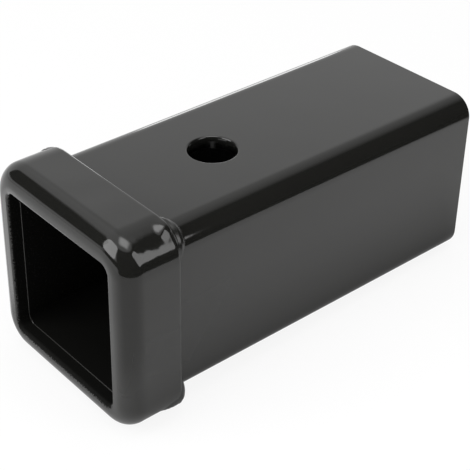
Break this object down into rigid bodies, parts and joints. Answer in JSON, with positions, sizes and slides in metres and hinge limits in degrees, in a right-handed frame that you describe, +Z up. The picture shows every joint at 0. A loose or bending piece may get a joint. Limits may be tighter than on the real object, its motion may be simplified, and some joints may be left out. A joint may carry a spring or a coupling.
{
  "type": "weld-on receiver tube",
  "caption": "Square steel receiver tube with a pressed collar welded round its mouth and a cross hole for a hitch pin, made to be welded to a tow bar or rack frame.",
  "frame": {"origin": "middle of the mouth, on the tube's centre line, in the plane of the collar's front face", "axes": "+Y along the tube from the mouth to the end that is welded on, +Z up along the pin hole, +X to the right when looking into the mouth"},
  "size_m": [0.073, 0.157, 0.073],
  "materials": {
    "black_paint": "gloss"
  },
  "bodies": {
    "root": {"receiver_tube": "black_paint", "reinforcing_collar": "black_paint", "weld_bead": "black_paint"}
  },
  "joints": []
}
